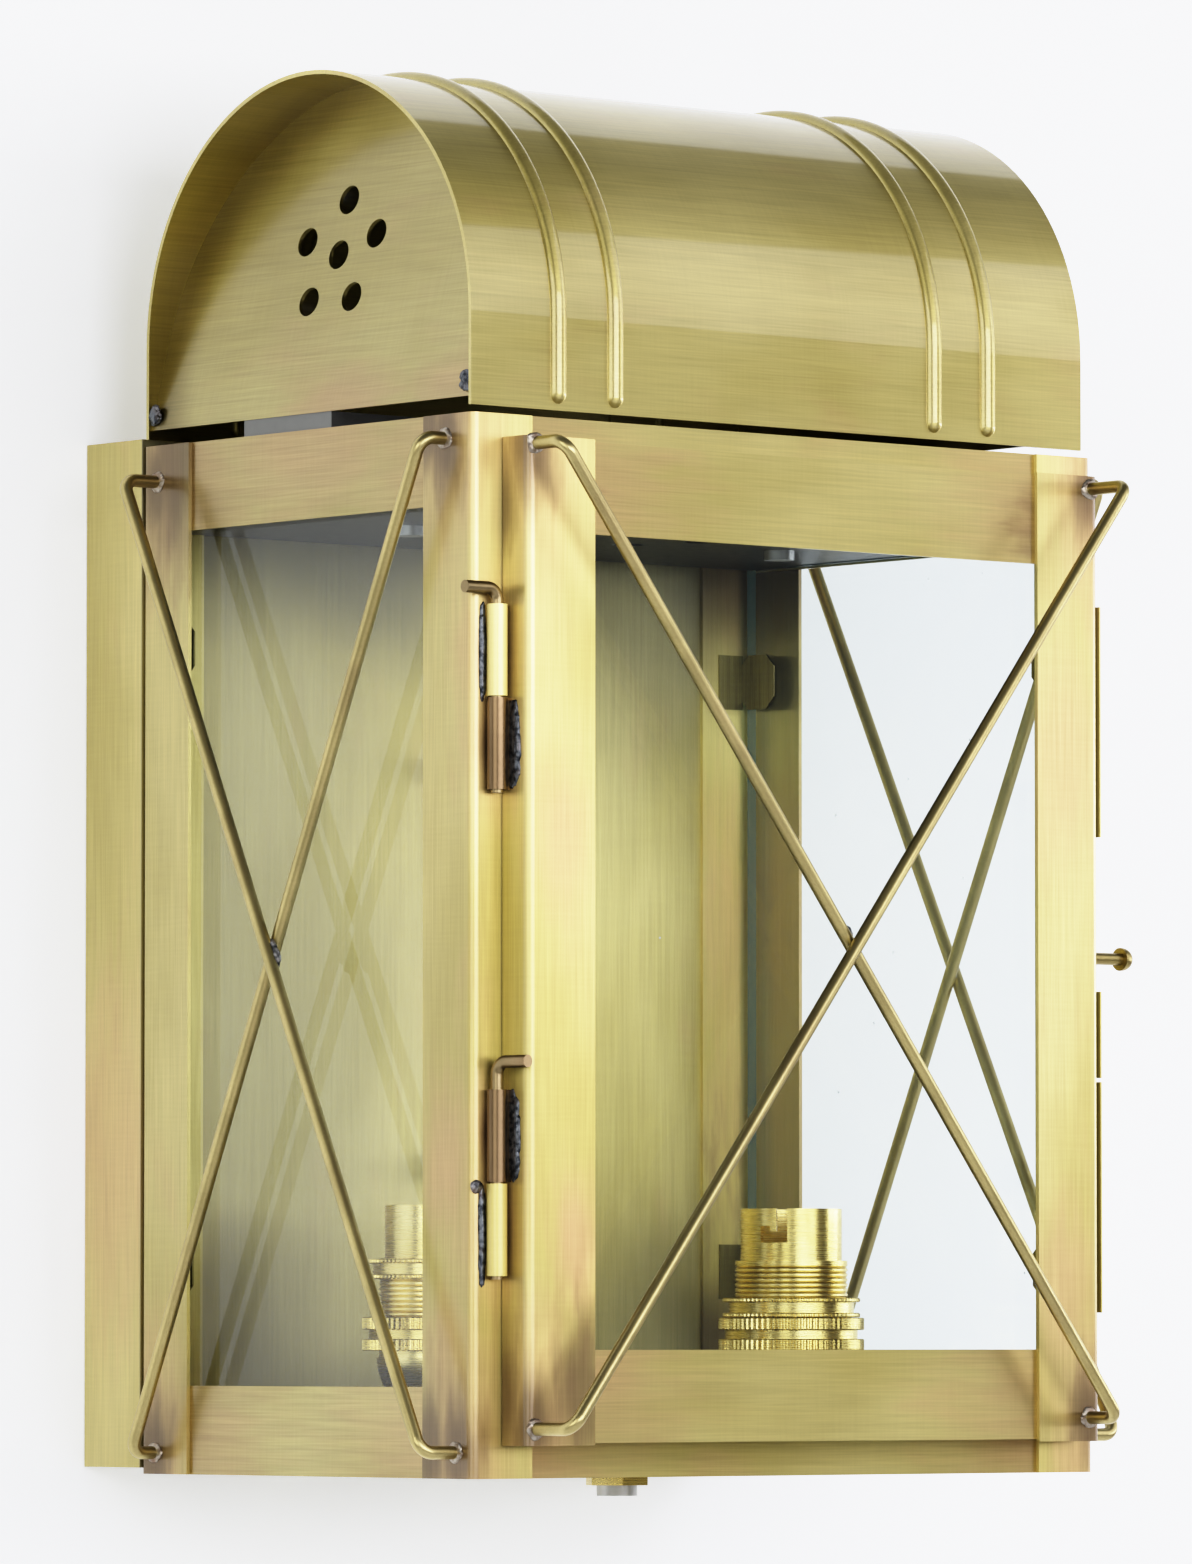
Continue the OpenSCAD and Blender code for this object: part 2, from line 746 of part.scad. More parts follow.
upper_joint_z = door_mid_z + hinge_spacing / 2;
lower_joint_z = door_mid_z - hinge_spacing / 2;
module body_knuckles() {
    color("khaki") {
        knuckle(upper_joint_z + knuckle_gap / 2, false);
        knuckle(lower_joint_z - knuckle_gap / 2 - knuckle_l, false);
    }
}
module door_knuckles() {
    color("sienna") {
        knuckle(upper_joint_z - knuckle_gap / 2 - knuckle_l, true);
        knuckle(lower_joint_z + knuckle_gap / 2, true);
    }
}

// Loose pin through a pair of knuckles, its head bent over; i is 0 for the upper pin, 1 for the lower
module hinge_pin(i) {
    joint_z = [upper_joint_z, lower_joint_z][i];
    low = joint_z - knuckle_l - 1;
    high = joint_z + knuckle_gap / 2 + knuckle_l + pin_rises[i];
    head = pin_head_l * [cos(pin_angles[i]), sin(pin_angles[i]), 0];
    base = [hinge_x, hinge_y, 0];
    color("peru") bent_rod([base + [0, 0, low], base + [0, 0, high], base + [0, 0, high] + head],
        pin_d / 2, pin_bend_r);
}
module upper_hinge_pin() hinge_pin(0);
module lower_hinge_pin() hinge_pin(1);

// Lampholders

// Repeats its children at both lampholders
module at_lamps() {
    for (side = [-1, 1]) at_lamp(side) children();
}
module at_lamp(side) {
    translate([lamp_x + side * lamp_spacing / 2, mid_y, low_z]) children();
}

module lamp_bar() {
    color("goldenrod") translate([lamp_x, mid_y, low_z + bar_top - lamp_bar_t]) difference() {
        union() {
            translate([-lamp_spacing / 2, -lamp_bar_w / 2, 0]) cube([lamp_spacing, lamp_bar_w, lamp_bar_t]);
            for (s = [-1, 1])
                translate([s * lamp_spacing / 2, 0, 0]) cylinder(h = lamp_bar_t, d = lamp_bar_w);
        }
        for (s = [-1 : 1])
            translate([s * lamp_spacing / 2, 0, -1]) cylinder(h = lamp_bar_t + 2, r = tube_r);
    }
}

module centre_tube() {
    color("silver") translate([lamp_x, mid_y, low_z + tube_low])
        tube(tube_r, tube_bore_r, tube_top - tube_low);
}

module conduit_nuts() {
    base = base_z - low_z;
    color("goldenrod") {
        for (z = [base - nut_t, base + sheet, bar_top - lamp_bar_t - nut_t, bar_top])
            translate([lamp_x, mid_y, low_z + z]) hex_nut(conduit_af, tube_r, nut_t);
        at_lamps() translate([0, 0, bar_top - lamp_bar_t - nut_t]) hex_nut(conduit_af, tube_r, nut_t);
    }
}

module lampholder_nipples() {
    low = bar_top - lamp_bar_t - nut_t;
    color("goldenrod") at_lamps() translate([0, 0, low]) tube(tube_r, tube_bore_r, neck_top + 4 - low);
}

// Domed lower half of the lampholder, screwed onto the nipple; a spigot centres the shell on it
module lampholder_caps() {
    color("gold") at_lamps() rotate_extrude() difference() {
        union() {
            translate([0, bar_top]) square([neck_r, neck_top - bar_top]);
            dome_section(cap_r, neck_top);
            translate([0, shell_low]) square([spigot_r, insulator_low - shell_low]);
        }
        translate([0, bar_top - 1]) square([tube_r, insulator_low]);
        intersection() {
            dome_section(cap_r - cap_wall, neck_top + cap_wall);
            square([spigot_bore_r, shell_low]);
        }
        translate([0, shell_low - 0.01]) square([spigot_bore_r, insulator_low]);
    }
}

// Half section of a dome that hangs below shell_low, cut off flat at the given height
module dome_section(r, low) {
    intersection() {
        translate([0, shell_low]) circle(r);
        translate([0, low]) square([r, shell_low - low]);
    }
}

// Cut for a bayonet slot: down from the rim, round to the left and up a little
module bayonet_slot() {
    from_r = socket_r - 1;
    cut = barrel_r + 1 - from_r;
    low = rim_h - slot_depth;
    translate([from_r, -slot_w / 2, low]) cube([cut, slot_w, slot_depth + 1]);
    rotate([0, 0, -slot_sweep]) {
        translate([0, 0, low]) rotate_extrude(angle = slot_sweep)
            translate([from_r, 0]) square([cut, slot_w]);
        translate([from_r, -slot_w / 2, low]) cube([cut, slot_w, slot_w + slot_notch]);
    }
}

// Threaded skirt and bayonet barrel in one piece
module lampholder_shell(turned) {
    grooves = floor((shoulder_h - lower_ring_low - 1.5) / thread_pitch);
    color("gold") difference() {
        rotate_extrude() difference() {
            union() {
                translate([0, shell_low]) square([thread_r, shoulder_h - shell_low]);
                translate([0, shell_low]) square([barrel_r, rim_h - shell_low]);
            }
            square([insulator_r + 0.15, insulator_top]);
            square([socket_r + 0.5, seat_h]);
            square([socket_r, rim_h + 1]);
            for (i = [1 : grooves])
                translate([thread_r, shoulder_h - 0.4 - i * thread_pitch])
                    polygon([[-thread_depth, 0], [0.1, -thread_depth], [0.1, thread_depth]]);
        }
        for (s = [0, 180]) rotate([0, 0, turned + s]) bayonet_slot();
    }
}
module left_lampholder_shell() at_lamp(-1) lampholder_shell(slot_turns[0]);
module right_lampholder_shell() at_lamp(1) lampholder_shell(slot_turns[1]);

module upper_shade_rings() {
    lip = 1.1;
    waist = 1.6;
    color("gold") for (i = [0, 1]) at_lamp(2 * i - 1) translate([0, 0, upper_ring_low[i]])
        difference() {
            tube(upper_ring[0], thread_r, upper_ring[1]);
            translate([0, 0, lip]) tube(upper_ring[0] + 1, upper_ring[0] - waist, upper_ring[1] - 2 * lip);
        }
}

module lower_shade_rings() {
    lip = 2.9;
    waist = 1.6;
    groove = 2.2;
    color("gold") at_lamps() translate([0, 0, lower_ring_low]) difference() {
        tube(lower_ring[0], thread_r, lower_ring[1]);
        translate([0, 0, lip]) tube(lower_ring[0] + 1, lower_ring[0] - waist, groove);
    }
}

// Repeats its children at both contacts of a lampholder, across its bayonet slots
module at_contact(turned, s) {
    rotate([0, 0, turned + 90 * s]) translate([contact_spacing / 2, 0, 0]) children();
}

module insulators() {
    color("ivory") for (i = [0, 1]) at_lamp(2 * i - 1) difference() {
        translate([0, 0, insulator_low]) cylinder(h = insulator_top - insulator_low, r = insulator_r);
        for (s = [-1, 1]) at_contact(slot_turns[i], s) {
            translate([0, 0, chamber_low]) cylinder(h = chamber_top - chamber_low, r = chamber_r);
            translate([0, 0, chamber_low]) cylinder(h = rim_h, r = plunger_r + 0.05);
        }
    }
}

module contact_springs() {
    rest = chamber_top - stop_gap - plunger_flange[1];
    color("gray") for (i = [0, 1]) at_lamp(2 * i - 1) for (s = [-1, 1]) at_contact(slot_turns[i], s)
        translate([0, 0, chamber_low + spring_wire_r])
            helix(spring_r, spring_wire_r, rest - chamber_low - 2 * spring_wire_r, spring_turns);
}

module plunger(i, s) {
    flange_low = chamber_top - stop_gap - plunger_flange[1];
    tail = 6;
    color("gold") at_lamp(2 * i - 1) at_contact(slot_turns[i], s) {
        translate([0, 0, flange_low]) cylinder(h = plunger_flange[1], r = plunger_flange[0]);
        translate([0, 0, flange_low]) cylinder(h = insulator_top + plunger_proud - flange_low, r = plunger_r);
        translate([0, 0, flange_low - tail]) cylinder(h = tail, r = 1.2);
    }
}
module left_plunger_a() plunger(0, -1);
module left_plunger_b() plunger(0, 1);
module right_plunger_a() plunger(1, -1);
module right_plunger_b() plunger(1, 1);

wall_strap();
wall_studs();
dome_nuts();
back_box();
cable_grommet();
terminal_block();
earth_terminal();
lead_left();
lead_right();
front_left_post();
front_right_post();
rear_left_post();
rear_right_post();
front_top_rail();
front_bottom_rail();
left_top_rail();
left_bottom_rail();
right_top_rail();
right_bottom_rail();
base_plate();
ceiling_plate();
roof_skin();
roof_left_end();
roof_right_end();
roof_bar();
roof_screws();
left_glass();
right_glass();
side_glass_clips();
left_guard_wires();
right_guard_wires();
door_guard_wires();
door_hinge_stile();
door_latch_stile();
door_top_rail();
door_bottom_rail();
door_glass();
door_glass_clips();
door_knob();
catch_springs();
body_knuckles();
door_knuckles();
upper_hinge_pin();
lower_hinge_pin();
lamp_bar();
centre_tube();
conduit_nuts();
lampholder_nipples();
lampholder_caps();
left_lampholder_shell();
right_lampholder_shell();
upper_shade_rings();
lower_shade_rings();
insulators();
contact_springs();
left_plunger_a();
left_plunger_b();
right_plunger_a();
right_plunger_b();
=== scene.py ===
"""Looks of the wall lantern: aged brushed brass, clear panes, solder, and a plain pale studio.

Lengths are metres in the row frame, whose origin is on the wall: X right, Y into the wall, Z up.
"""

import math

import bmesh
import bpy
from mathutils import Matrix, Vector, noise


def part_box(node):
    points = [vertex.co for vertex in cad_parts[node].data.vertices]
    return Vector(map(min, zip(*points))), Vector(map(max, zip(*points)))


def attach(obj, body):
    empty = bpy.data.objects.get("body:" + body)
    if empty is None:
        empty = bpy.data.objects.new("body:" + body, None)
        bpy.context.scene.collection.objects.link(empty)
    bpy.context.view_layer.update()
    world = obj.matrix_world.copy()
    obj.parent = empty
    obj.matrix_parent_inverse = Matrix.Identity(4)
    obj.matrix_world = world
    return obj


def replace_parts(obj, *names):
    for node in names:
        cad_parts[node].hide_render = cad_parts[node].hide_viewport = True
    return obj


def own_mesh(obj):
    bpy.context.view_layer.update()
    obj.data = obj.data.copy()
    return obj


MM = 0.001
UP = Vector((0, 0, 1))

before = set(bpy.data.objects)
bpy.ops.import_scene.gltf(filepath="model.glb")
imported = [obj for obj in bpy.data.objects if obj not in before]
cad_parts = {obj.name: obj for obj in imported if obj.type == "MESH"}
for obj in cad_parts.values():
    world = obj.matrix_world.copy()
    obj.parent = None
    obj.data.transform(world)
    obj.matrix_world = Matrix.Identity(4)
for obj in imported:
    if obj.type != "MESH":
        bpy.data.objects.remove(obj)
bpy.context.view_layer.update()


def low(node):
    """Lowest corner of a CAD node."""
    return Vector(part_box(node)[0])


def high(node):
    """Highest corner of a CAD node."""
    return Vector(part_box(node)[1])


BODY_LEFT_X = low("front_left_post").x
BODY_RIGHT_X = high("front_right_post").x
POST_FRONT_Y = low("front_left_post").y
DOOR_LOW = low("door_hinge_stile")


# Node materials


class Shader:
    """A node material with short ways to write the sums that drive it."""

    def __init__(self, name):
        self.material = bpy.data.materials.new(name)
        self.material.use_nodes = True
        self.tree = self.material.node_tree
        self.tree.nodes.clear()
        self.output = self.add("ShaderNodeOutputMaterial")
        self.place = self.add("ShaderNodeTexCoord").outputs["Object"]

    def add(self, kind, inputs=None, **settings):
        """A node of this kind, with its settings and the values or sockets that feed it."""
        node = self.tree.nodes.new(kind)
        for key, value in settings.items():
            setattr(node, key, value)
        for key, value in (inputs or {}).items():
            self.feed(node.inputs[key], value)
        return node

    def feed(self, socket, value):
        """Links a socket, or sets its value."""
        if isinstance(value, bpy.types.NodeSocket):
            self.tree.links.new(value, socket)
        elif socket.type == "RGBA" and len(value) == 3:
            socket.default_value = (*value, 1)
        else:
            socket.default_value = value

    def math(self, operation, a, b=0.0, clamp=False):
        """One arithmetic step on numbers."""
        return self.add(
            "ShaderNodeMath", {0: a, 1: b}, operation=operation, use_clamp=clamp
        ).outputs[0]

    def vector(self, operation, a, b=(0, 0, 0)):
        """One arithmetic step on vectors; a length or distance comes out as a number."""
        node = self.add("ShaderNodeVectorMath", {0: a, 1: b}, operation=operation)
        return node.outputs["Value" if operation in ("LENGTH", "DISTANCE") else "Vector"]

    def noise(self, scale, detail=2.0, shift=0.0, place=None):
        """Noise from 0 to 1; scale is features per metre, one number or one along each axis."""
        scale = (scale,) * 3 if isinstance(scale, (int, float)) else scale
        place = self.vector("MULTIPLY", place or self.place, scale)
        place = self.vector("ADD", place, (shift, shift * 0.7, -shift))
        return self.add(
            "ShaderNodeTexNoise", {"Vector": place, "Scale": 1.0, "Detail": detail}
        ).outputs["Fac"]

    def ramp(self, value, start, end):
        """Smooth step from 0 at start to 1 at end."""
        return self.add(
            "ShaderNodeMapRange",
            {"Value": value, "From Min": start, "From Max": end},
            interpolation_type="SMOOTHSTEP",
        ).outputs["Result"]

    def scaled(self, value, low_end, high_end):
        """A number from 0 to 1 spread over low_end to high_end."""
        return self.add(
            "ShaderNodeMapRange", {"Value": value, "To Min": low_end, "To Max": high_end}
        ).outputs["Result"]

    def mix(self, factor, a, b, blend="MIX"):
        """Colour a, turning to b as factor goes to 1."""
        node = self.add("ShaderNodeMix", data_type="RGBA", blend_type=blend)
        self.feed(node.inputs["Factor"], factor)
        self.feed(node.inputs["A"], a)
        self.feed(node.inputs["B"], b)
        return node.outputs["Result"]

    def near(self, point, radius, wobble, squeeze):
        """1 around a point, fading to 0 at the radius, with an edge that the wobble noise makes ragged.

        squeeze scales distances along each axis: under 1 draws the mark out that way.
        """
        offset = self.vector("MULTIPLY", self.vector("SUBTRACT", self.place, tuple(point)), squeeze)
        distance = self.math("MULTIPLY", self.vector("LENGTH", offset), self.scaled(wobble, 0.5, 1.6))
        return self.ramp(distance, radius, radius * 0.15)

    def most(self, values):
        """The largest of some numbers."""
        result = values[0]
        for value in values[1:]:
            result = self.math("MAXIMUM", result, value)
        return result

    def bump(self, height, strength, depth):
        """A normal disturbed by a height from 0 to 1 that stands for depth metres."""
        return self.add(
            "ShaderNodeBump", {"Height": height, "Strength": strength, "Distance": depth}
        ).outputs["Normal"]

    def finish(self, **inputs):
        """Ends in one Principled shader, and gives the material."""
        names = {key: key.replace("_", " ") for key in inputs}
        shader = self.add("ShaderNodeBsdfPrincipled", {names[k]: v for k, v in inputs.items()})
        self.tree.links.new(shader.outputs["BSDF"], self.output.inputs["Surface"])
        return self.material


OLIVE = (0.445, 0.37, 0.12)
STRAW = (0.57, 0.49, 0.195)
ROSE = (0.54, 0.35, 0.17)
SMOKE = (0.095, 0.058, 0.032)


def stretched(axis, along, across):
    """Noise scale for streaks that run along an axis: features per metre along and across it."""
    return tuple(along if name == axis else across for name in "xyz")


def brushed_brass(name, grain, stains_and_shade_spots=(), blush=(), shade_veils=(), smoke_and_shade_colour=SMOKE, roughness=0.42, tone=1.0,
                  lacquer=0.2, contrast=0.6):
    """Lacquered brass sheet brushed along one axis.

    The dark spots and blush are (point, radius) pairs, drawn out along the grain. The spots are smoke
    stains, and at a few places painted shade. Blush is pink heat tint.
    The veil functions give more painted shade, from 0 to 1. The smoke colour is also the colour of that
    painted shade.
    lacquer is the roughness of the clear coat. contrast scales the grain. tone scales the brightness: it
    paints some parts lighter or darker for the light that falls on them, as painted light and shade.
    """
    s = Shader(name)
    fine = s.noise(stretched(grain, 45, 2200), 3)
    hair = s.noise(stretched(grain, 22, 950), 2, 1)
    streak = s.noise(stretched(grain, 14, 430), 3, 6)
    cloud = s.noise(stretched(grain, 9, 20), 3, 2)
    patch = s.noise(stretched(grain, 24, 60), 4, 9)
    wobble = s.noise(stretched(grain, 60, 260), 3, 4)
    drawn = stretched(grain, 0.45, 1.0)
    color = s.mix(s.ramp(cloud, 0.34, 0.66), OLIVE, STRAW)
    color = s.mix(s.math("MULTIPLY", s.ramp(patch, 0.56, 0.8), 0.3), color, ROSE)
    if blush:
        warm = s.most([s.near(point, radius, wobble, drawn) for point, radius in blush])
        color = s.mix(s.math("MULTIPLY", warm, s.scaled(patch, 0.3, 1.0)), color, ROSE)
    # Dark spots and veils: smoke stains, and painted shade where they stand for it.
    smoke_and_shade = [s.math("MULTIPLY", s.near(point, radius, wobble, drawn), 0.8) for point, radius in stains_and_shade_spots]
    smoke_and_shade += [veil(s) for veil in shade_veils]
    if smoke_and_shade:
        color = s.mix(s.most(smoke_and_shade), color, smoke_and_shade_colour)
    cross = s.noise(stretched(grain, 1500, 70), 2, 5)
    # tone paints some parts lighter or darker: painted light and shade.
    level = s.scaled(fine, tone - 0.2, tone + 0.2)
    for part, swing in ((streak, 0.12 * contrast), (hair, 0.18 * contrast), (cross, 0.05)):
        level = s.math("ADD", level, s.scaled(part, -swing, swing))
    grey = s.add("ShaderNodeCombineColor", {"Red": level, "Green": level, "Blue": level})
    color = s.mix(1.0, color, grey.outputs[0], "MULTIPLY")
    around = s.add("ShaderNodeTangent", direction_type="RADIAL", axis=grain.upper())
    worn = s.scaled(patch, roughness - 0.04, roughness + 0.04)
    return s.finish(
        Base_Color=color,
        Metallic=1.0,
        Roughness=s.math("ADD", s.scaled(streak, -0.05, 0.05), worn),
        Anisotropic=0.8,
        Tangent=around.outputs[0],
        Normal=s.bump(s.noise(70, 2), 0.12, 0.0006),
        Coat_Weight=1.0,
        Coat_Roughness=lacquer,
    )


def painted_shade_fade(axis, clear, dark, amount, ahead_of=1.0):
    """Painted shade that thickens between two places on an axis, for brushed_brass.

    Only what lies ahead of a depth, at a lower Y, is shaded.
    """
    def veil(s):
        parts = s.add("ShaderNodeSeparateXYZ", {"Vector": s.place})
        drift = min(abs(dark - clear) * 0.25, 0.02)
        where = s.math("ADD", parts.outputs[axis], s.scaled(s.noise(30, 4, 3), -drift, drift))
        amount_here = s.math("MULTIPLY", s.math("LESS_THAN", parts.outputs["Y"], ahead_of), amount)
        return s.math("MULTIPLY", s.ramp(where, clear, dark), amount_here)
    return veil


def painted_shade_under_arch(centre, radius, width, amount):
    """Painted shade in a band of this width inside an arch across X, thickest on its side by the wall: the
    lip's shade and dark reflection.
    """
    def veil(s):
        offset = s.vector("MULTIPLY", s.vector("SUBTRACT", s.place, tuple(centre)), (0, 1, 1))
        reach = s.math("ADD", s.vector("LENGTH", offset), s.scaled(s.noise(40, 3, 3), -0.003, 0.003))
        parts = s.add("ShaderNodeSeparateXYZ", {"Vector": offset})
        rearward = s.math("ADD", parts.outputs["Y"], s.math("MULTIPLY", parts.outputs["Z"], 0.4))
        side = s.ramp(rearward, 0.0, 0.04)
        band = s.ramp(reach, radius - width, radius - width * 0.15)
        return s.math("MULTIPLY", s.math("MULTIPLY", band, side), amount)
    return veil


def drawn_wire(name, tint=(0.46, 0.385, 0.175), rosy=0.2, roughness=0.33):
    """Brass wire with fine scratches, browned here and there."""
    s = Shader(name)
    cloud = s.noise(55, 3, 3)
    fine = s.noise(1400, 2)
    color = s.mix(s.ramp(cloud, 0.4, 0.65), tint, tuple(1.25 * c for c in tint))
    browned = s.math("MULTIPLY", s.ramp(s.noise(26, 2, 8), 0.5, 0.7), rosy)
    color = s.mix(browned, color, (0.27, 0.15, 0.09))
    color = s.mix(s.math("MULTIPLY", fine, 0.3), color, (0.16, 0.13, 0.07))
    return s.finish(
        Base_Color=color,
        Metallic=1.0,
        Roughness=s.scaled(fine, roughness - 0.05, roughness + 0.08),
        Normal=s.bump(fine, 0.2, 0.00005),
    )


def polished_brass(name):
    """Lathe-turned bright brass."""
    s = Shader(name)
    turned = s.noise((60, 60, 5200), 2)
    cloud = s.noise(60, 3, 6)
    return s.finish(
        Base_Color=s.mix(s.ramp(cloud, 0.35, 0.7), (0.70, 0.55, 0.19), (0.86, 0.72, 0.32)),
        Metallic=1.0,
        Roughness=s.scaled(turned, 0.20, 0.34),
        Normal=s.bump(turned, 0.5, 0.00003),
    )


def solder(name, dark, pale, flux, roughness, lumpiness):
    """Solder that wanders between two greys, with brown flux on some of it."""
    s = Shader(name)
    lump = s.noise(700, 4)
    color = s.mix(s.ramp(lump, 0.35, 0.62), dark, pale)
    fluxed = s.math("MULTIPLY", s.ramp(s.noise(300, 2, 7), 0.5, 0.7), flux)
    color = s.mix(fluxed, color, (0.22, 0.13, 0.08))
    return s.finish(
        Base_Color=color,
        Metallic=0.85,
        Roughness=s.scaled(lump, roughness - 0.1, roughness + 0.15),
        Normal=s.bump(lump, lumpiness, 0.0004),
    )


def dull_metal(name, color, other, metallic=0.9, roughness=0.42, scale=400):
    """Plain worn metal whose tone wanders between two colours."""
    s = Shader(name)
    cloud = s.noise(30, 3)
    fine = s.noise(scale, 3, 3)
    tone = s.mix(s.math("MULTIPLY", s.math("ADD", cloud, fine), 0.5), color, other)
    return s.finish(
        Base_Color=tone,
        Metallic=metallic,
        Roughness=s.scaled(fine, roughness - 0.08, roughness + 0.1),
        Normal=s.bump(fine, 0.3, 0.00008),
    )


def matte(name, color, other, roughness=0.6, scale=600):
    """Rubber, glazed ceramic or moulded plastic, mottled between two colours."""
    s = Shader(name)
    fine = s.noise(scale, 3)
    tone = s.mix(s.ramp(s.noise(50, 3, 2), 0.3, 0.7), color, other)
    return s.finish(
        Base_Color=tone,
        Roughness=s.scaled(fine, roughness - 0.08, roughness + 0.08),
        Normal=s.bump(fine, 0.15, 0.0001),
    )


def clear_glass(name, through):
    """Float glass: nearly clear through its faces, teal at its cut edges. through is the face axis."""
    s = Shader(name)
    normal = s.add("ShaderNodeTexCoord").outputs["Normal"]
    parts = s.add("ShaderNodeSeparateXYZ", {"Vector": normal})
    face = s.math("GREATER_THAN", s.math("ABSOLUTE", parts.outputs[through]), 0.5)
    spots = s.add("ShaderNodeTexVoronoi", {"Vector": s.place, "Scale": 70.0})
    rare = s.add("ShaderNodeSeparateColor", {"Color": spots.outputs["Color"]}).outputs[0]
    speck = s.ramp(spots.outputs["Distance"], 0.03, 0.015)
    dust = s.math("MULTIPLY", speck, s.math("GREATER_THAN", rare, 0.6))
    smear = s.noise(22, 3, 1)
    clear = s.add("ShaderNodeBsdfTransparent", {"Color": (0.957, 0.977, 0.977)})
    gloss = s.add("ShaderNodeBsdfGlossy", {"Color": (1, 1, 1), "Roughness": s.scaled(smear, 0.0, 0.03)})
    haze = s.add("ShaderNodeBsdfDiffuse", {"Color": (0.85, 0.9, 0.9)})
    facing = s.add("ShaderNodeLayerWeight", {"Blend": 0.5}).outputs["Facing"]
    mirror = s.math("ADD", s.math("MULTIPLY", s.math("POWER", facing, 5.0), 0.96), 0.038)
    pane = s.add("ShaderNodeMixShader", {0: mirror})
    s.tree.links.new(clear.outputs[0], pane.inputs[1])
    s.tree.links.new(gloss.outputs[0], pane.inputs[2])
    dusty = s.add("ShaderNodeMixShader", {0: s.math("ADD", s.math("MULTIPLY", dust, 0.5), 0.002)})
    s.tree.links.new(pane.outputs[0], dusty.inputs[1])
    s.tree.links.new(haze.outputs[0], dusty.inputs[2])
    rim = s.add("ShaderNodeBsdfPrincipled", {
        "Base Color": s.mix(smear, (0.05, 0.13, 0.13, 1), (0.10, 0.22, 0.21, 1)),
        "Roughness": 0.15, "Transmission Weight": 0.3,
    })
    result = s.add("ShaderNodeMixShader", {0: face})
    s.tree.links.new(rim.outputs[0], result.inputs[1])
    s.tree.links.new(dusty.outputs[0], result.inputs[2])
    s.tree.links.new(result.outputs[0], s.output.inputs["Surface"])
    return s.material


# Where wires end, cross and stain the brass

def crossing(a, b, c, d):
    """Where lines a-b and c-d cross, seen along the axis that all four points share."""
    u = b - a
    v = d - c
    w = c - a
    n = u.cross(v)
    return a + u * (w.cross(v).dot(n) / n.dot(n))


def flat_points(axis, depth, places):
    """Points given as (across, height) in millimetres, at one depth along X or Y."""
    if axis == "X":
        return [Vector((depth, a * MM, b * MM)) for a, b in places]
    return [Vector((a * MM, depth, b * MM)) for a, b in places]


# Two wires on each face, foot to foot: the upper rear foot to the lower front one comes first
LEFT_FEET = flat_points(
    "X", BODY_LEFT_X, [(-28.5, 117.25), (-144.3, -120.05), (-140.1, 120.45), (-28.4, -121.05)]
)
RIGHT_FEET = flat_points(
    "X", BODY_RIGHT_X, [(-28.0, 116.45), (-146.1, -117.05), (-145.1, 120.45), (-33.6, -120.25)]
)
DOOR_FEET = flat_points(
    "Y", DOOR_LOW.y, [(90.2, 117.35), (-88.8, -114.45), (-88.8, 118.65), (89.1, -112.65)]
)
HINGE_X = (low("body_knuckles").x + high("body_knuckles").x) / 2
KNUCKLE_HALF = 11.2 * MM
BODY_KNUCKLE_Z = (high("body_knuckles").z - KNUCKLE_HALF, low("body_knuckles").z + KNUCKLE_HALF)
DOOR_KNUCKLE_Z = (high("door_knuckles").z - KNUCKLE_HALF, low("door_knuckles").z + KNUCKLE_HALF)


def marks(points, radius, spread=0.0):
    """(point, radius) pairs for a material, with radii that differ a little."""
    return [(p, radius * (1 + spread * math.sin(7.3 * i + 1))) for i, p in enumerate(points)]


def ends_of(node, axis):
    """The middles of a rail's two ends."""
    lo = low(node)
    hi = high(node)
    middle = (lo + hi) / 2
    first = middle.copy()
    last = middle.copy()
    first[axis] = lo[axis]
    last[axis] = hi[axis]
    return [first, last]


def near_box(points, node, reach=12 * MM):
    """Those points that lie on or close to a CAD node."""
    lo = low(node)
    hi = high(node)
    return [p for p in points if all(lo[i] - reach < p[i] < hi[i] + reach for i in range(3))]


WIRE_FEET = LEFT_FEET + RIGHT_FEET + DOOR_FEET
KNUCKLE_SPOTS = [Vector((HINGE_X, POST_FRONT_Y, z)) for z in BODY_KNUCKLE_Z + DOOR_KNUCKLE_Z]

GRAINS = {
    "front_left_post": "z", "front_right_post": "z", "rear_left_post": "z", "rear_right_post": "z",
    "door_hinge_stile": "z", "door_latch_stile": "z", "back_box": "z", "body_knuckles": "z",
    "front_top_rail": "x", "front_bottom_rail": "x", "door_top_rail": "x", "door_bottom_rail": "x",
    "left_top_rail": "y", "left_bottom_rail": "y", "right_top_rail": "y", "right_bottom_rail": "y",
    "roof_left_end": "y", "roof_right_end": "y", "roof_skin": "x", "base_plate": "x",
    "side_glass_clips": "z", "door_glass_clips": "z", "catch_springs": "z",
}
RAIL_AXES = {"x": 0, "y": 1}


def spot(node, across, deep, up, radius):
    """A (point, radius) pair at fractions of a CAD node's box along X, Y and Z."""
    lo = low(node)
    hi = high(node)
    return (Vector(tuple(lo[i] + (hi[i] - lo[i]) * f for i, f in enumerate((across, deep, up)))), radius)
